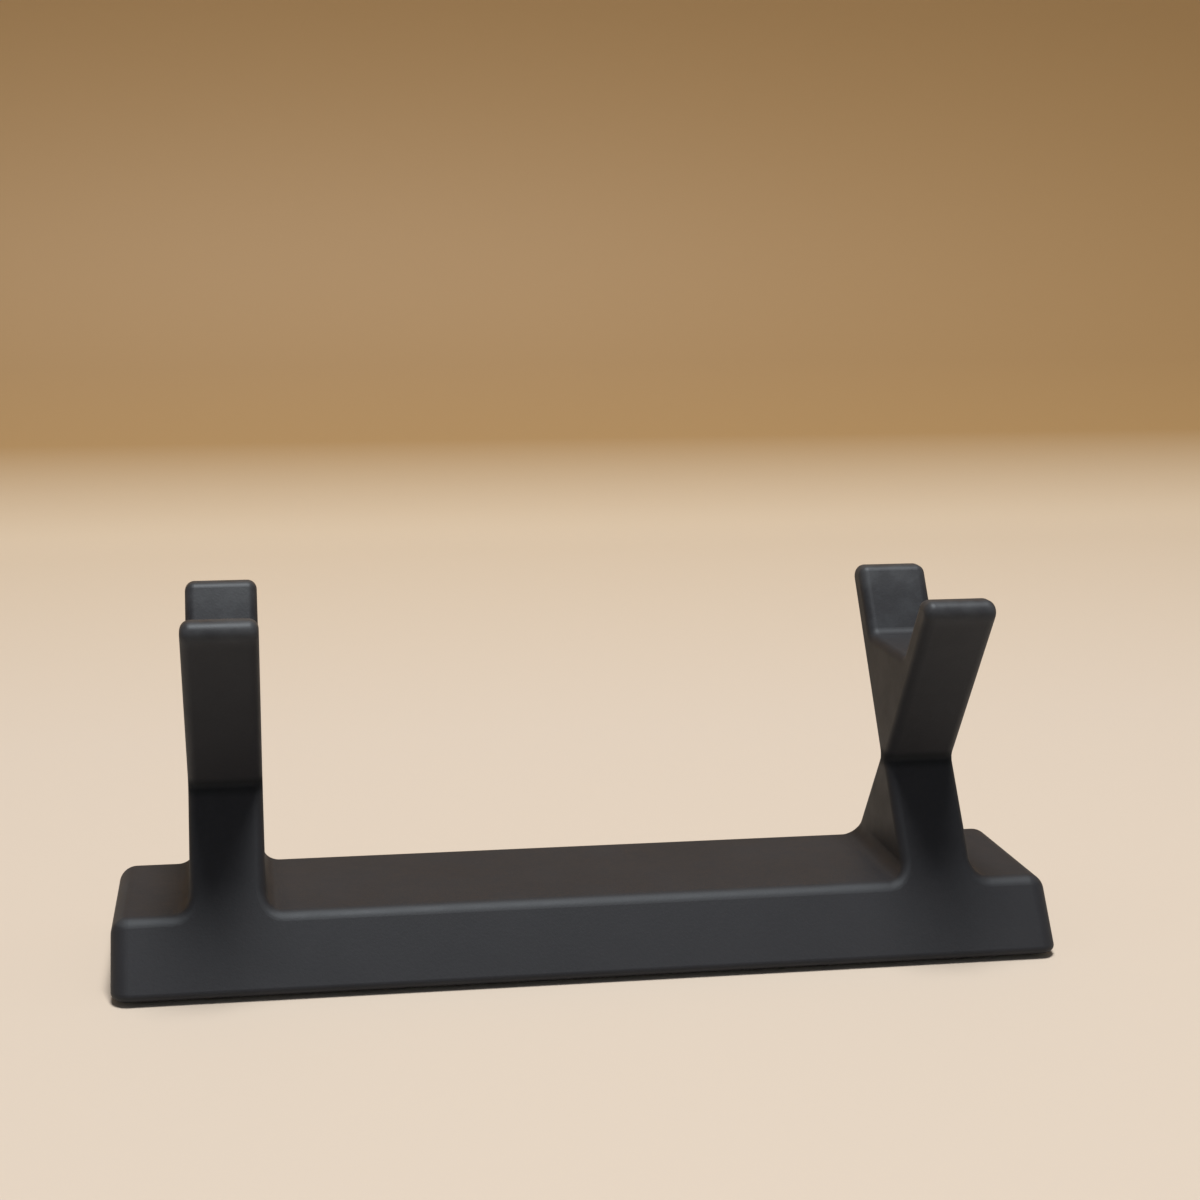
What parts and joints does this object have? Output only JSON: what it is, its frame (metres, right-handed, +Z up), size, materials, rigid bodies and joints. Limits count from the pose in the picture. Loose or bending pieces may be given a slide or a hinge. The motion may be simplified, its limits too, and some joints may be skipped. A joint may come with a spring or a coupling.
{
  "type": "toothbrush holder",
  "caption": "Low free-standing bar with a cradle post near each end. Each post narrows to a waist and opens into a flat-floored notch, so a toothbrush lies level above the counter.",
  "frame": {"origin": "on the standing surface, below the middle of the bar", "axes": "+X along the bar, to the right seen from the front; +Y to the back; +Z up"},
  "size_m": [0.1052, 0.0298, 0.041],
  "materials": {
    "charcoal_plastic": "satin, dark charcoal grey",
    "screw_steel": "zinc plated",
    "foot_rubber": "matt black"
  },
  "bodies": {
    "root": {"base_bar": "charcoal_plastic", "left_cradle_post": "charcoal_plastic", "right_cradle_post": "charcoal_plastic", "post_screws": "screw_steel", "front_left_foot": "foot_rubber", "front_right_foot": "foot_rubber", "back_left_foot": "foot_rubber", "back_right_foot": "foot_rubber"}
  },
  "joints": []
}
